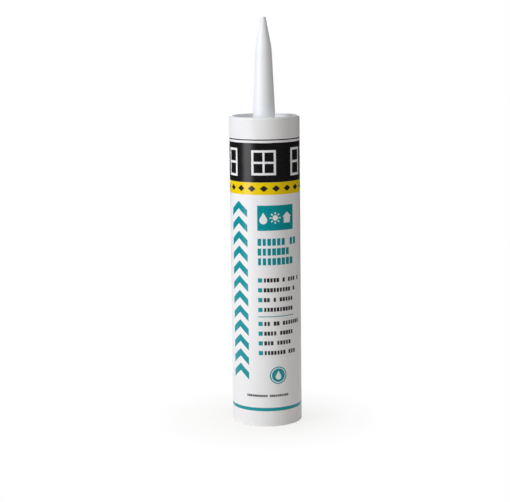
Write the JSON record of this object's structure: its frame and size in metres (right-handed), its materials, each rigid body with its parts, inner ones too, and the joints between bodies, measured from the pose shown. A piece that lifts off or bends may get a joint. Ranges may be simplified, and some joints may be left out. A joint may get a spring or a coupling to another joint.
{
  "type": "caulk tube",
  "caption": "Rigid white sealant cartridge with a tapered closed nozzle, an open tail and a sliding piston, made to fit a caulking gun.",
  "frame": {"origin": "centre of the tail's end face, on which the tube stands", "axes": "+Z along the tube's axis, from the tail to the nozzle's tip; the printed front faces -Y"},
  "size_m": [0.049, 0.049, 0.2834],
  "materials": {
    "barrel_plastic": "satin",
    "nozzle_plastic": "satin",
    "seal_foil": "satin",
    "sealant_paste": "matte",
    "piston_plastic": "satin"
  },
  "bodies": {
    "cartridge": {"barrel": "barrel_plastic", "nozzle_head": "nozzle_plastic", "inner_seal": "seal_foil", "sealant": "sealant_paste"},
    "follower": {"piston": "piston_plastic"}
  },
  "joints": [
    {"name": "piston_slide", "type": "slide", "parent": "cartridge", "child": "follower", "axis": [0, 0, 1], "range_m": [0, 0.1763], "deforming": ["sealant"]}
  ]
}
